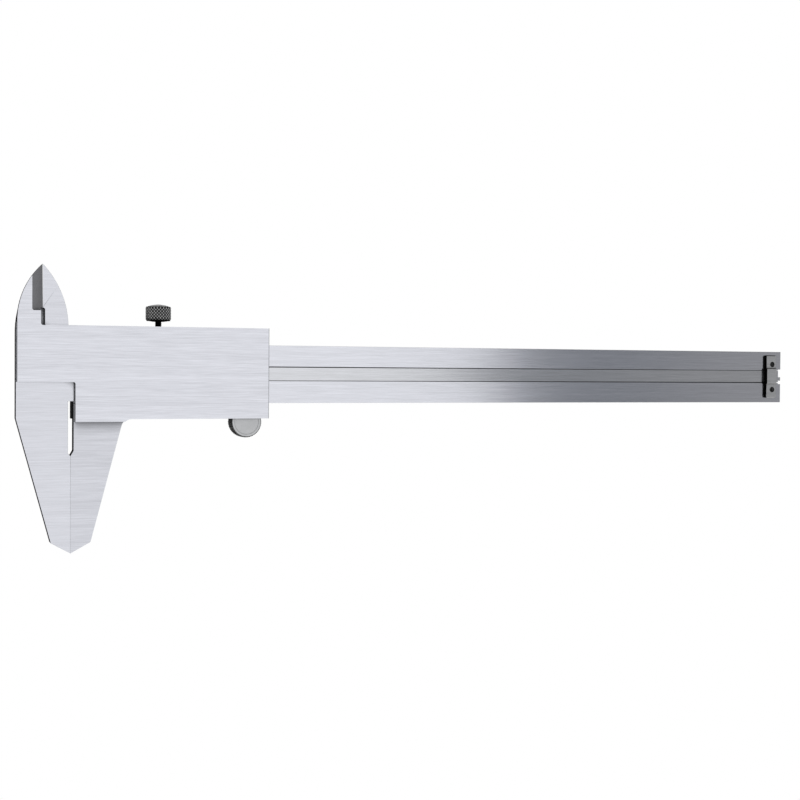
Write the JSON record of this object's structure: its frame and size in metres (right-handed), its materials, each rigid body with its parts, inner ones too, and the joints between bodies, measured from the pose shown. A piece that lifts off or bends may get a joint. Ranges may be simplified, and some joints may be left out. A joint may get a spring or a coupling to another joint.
{
  "type": "vernier caliper",
  "caption": "Vernier caliper with outside and inside jaws, a depth rod, a lock screw and a thumb roller on a sliding vernier frame.",
  "frame": {"origin": "middle of the footprint, on the surface that the slider's graduated face rests on", "axes": "+X along the beam away from the jaws, +Y towards the inside jaws, +Z out of the rear face, which carries the depth rod"},
  "size_m": [0.2362, 0.0766, 0.008],
  "materials": {
    "beam_steel": "hardened stainless steel, fine lengthwise grinding",
    "slider_steel": "hardened stainless steel, satin, lengthwise grinding",
    "rod_steel": "stainless steel, ground flat",
    "stop_steel": "pressed steel, satin",
    "vernier_steel": "satin chrome on steel, black graduations",
    "arm_steel": "spring steel, satin",
    "roller_steel": "steel, turned face and knurled rim",
    "screw_steel": "steel, turned",
    "black_oxide": "black oxide on steel",
    "bronze": "rolled bronze strip",
    "pad_brass": "turned brass"
  },
  "bodies": {
    "beam": {"main_beam": "beam_steel", "stop_plate": "stop_steel", "stop_screws": "black_oxide"},
    "slider": {"slider_body": "slider_steel", "metric_vernier": "vernier_steel", "inch_vernier": "vernier_steel", "vernier_screws": "screw_steel", "gib_strip": "bronze", "gib_screws": "black_oxide", "depth_rod": "rod_steel", "rod_pins": "screw_steel", "arm_screw": "screw_steel"},
    "pad": {"lock_pad": "pad_brass"},
    "lock": {"lock_screw": "black_oxide"},
    "arm": {"roller_arm": "arm_steel"},
    "roller": {"thumb_roller": "roller_steel", "roller_spindle": "screw_steel"}
  },
  "joints": [
    {"name": "slider_travel", "type": "slide", "parent": "beam", "child": "slider", "axis": [1, 0, 0], "range_m": [0, 0.1625]},
    {"name": "pad_lift", "type": "slide", "parent": "slider", "child": "pad", "axis": [0, 1, 0], "range_m": [0, 0.0009]},
    {"name": "lock_turn", "type": "hinge", "parent": "pad", "child": "lock", "pos_m": [-0.0805, 0.0236, 0.0042], "axis": [0, 1, 0], "range_deg": [0, 721]},
    {"name": "arm_swing", "type": "hinge", "parent": "slider", "child": "arm", "pos_m": [-0.0696, -0.00115, 0.0005], "axis": [0, 0, 1], "range_deg": [0, 3.9], "stiffness_Nm_per_rad": 0.05, "springref_deg": -2.86},
    {"name": "roller_spin", "type": "hinge", "parent": "arm", "child": "roller", "pos_m": [-0.0562, -0.00365, 0.003], "axis": [0, 0, 1], "continuous": true}
  ],
  "couplings": [
    {"joint": "lock_turn", "follows": "pad_lift", "rad_per_m": 13963}
  ]
}
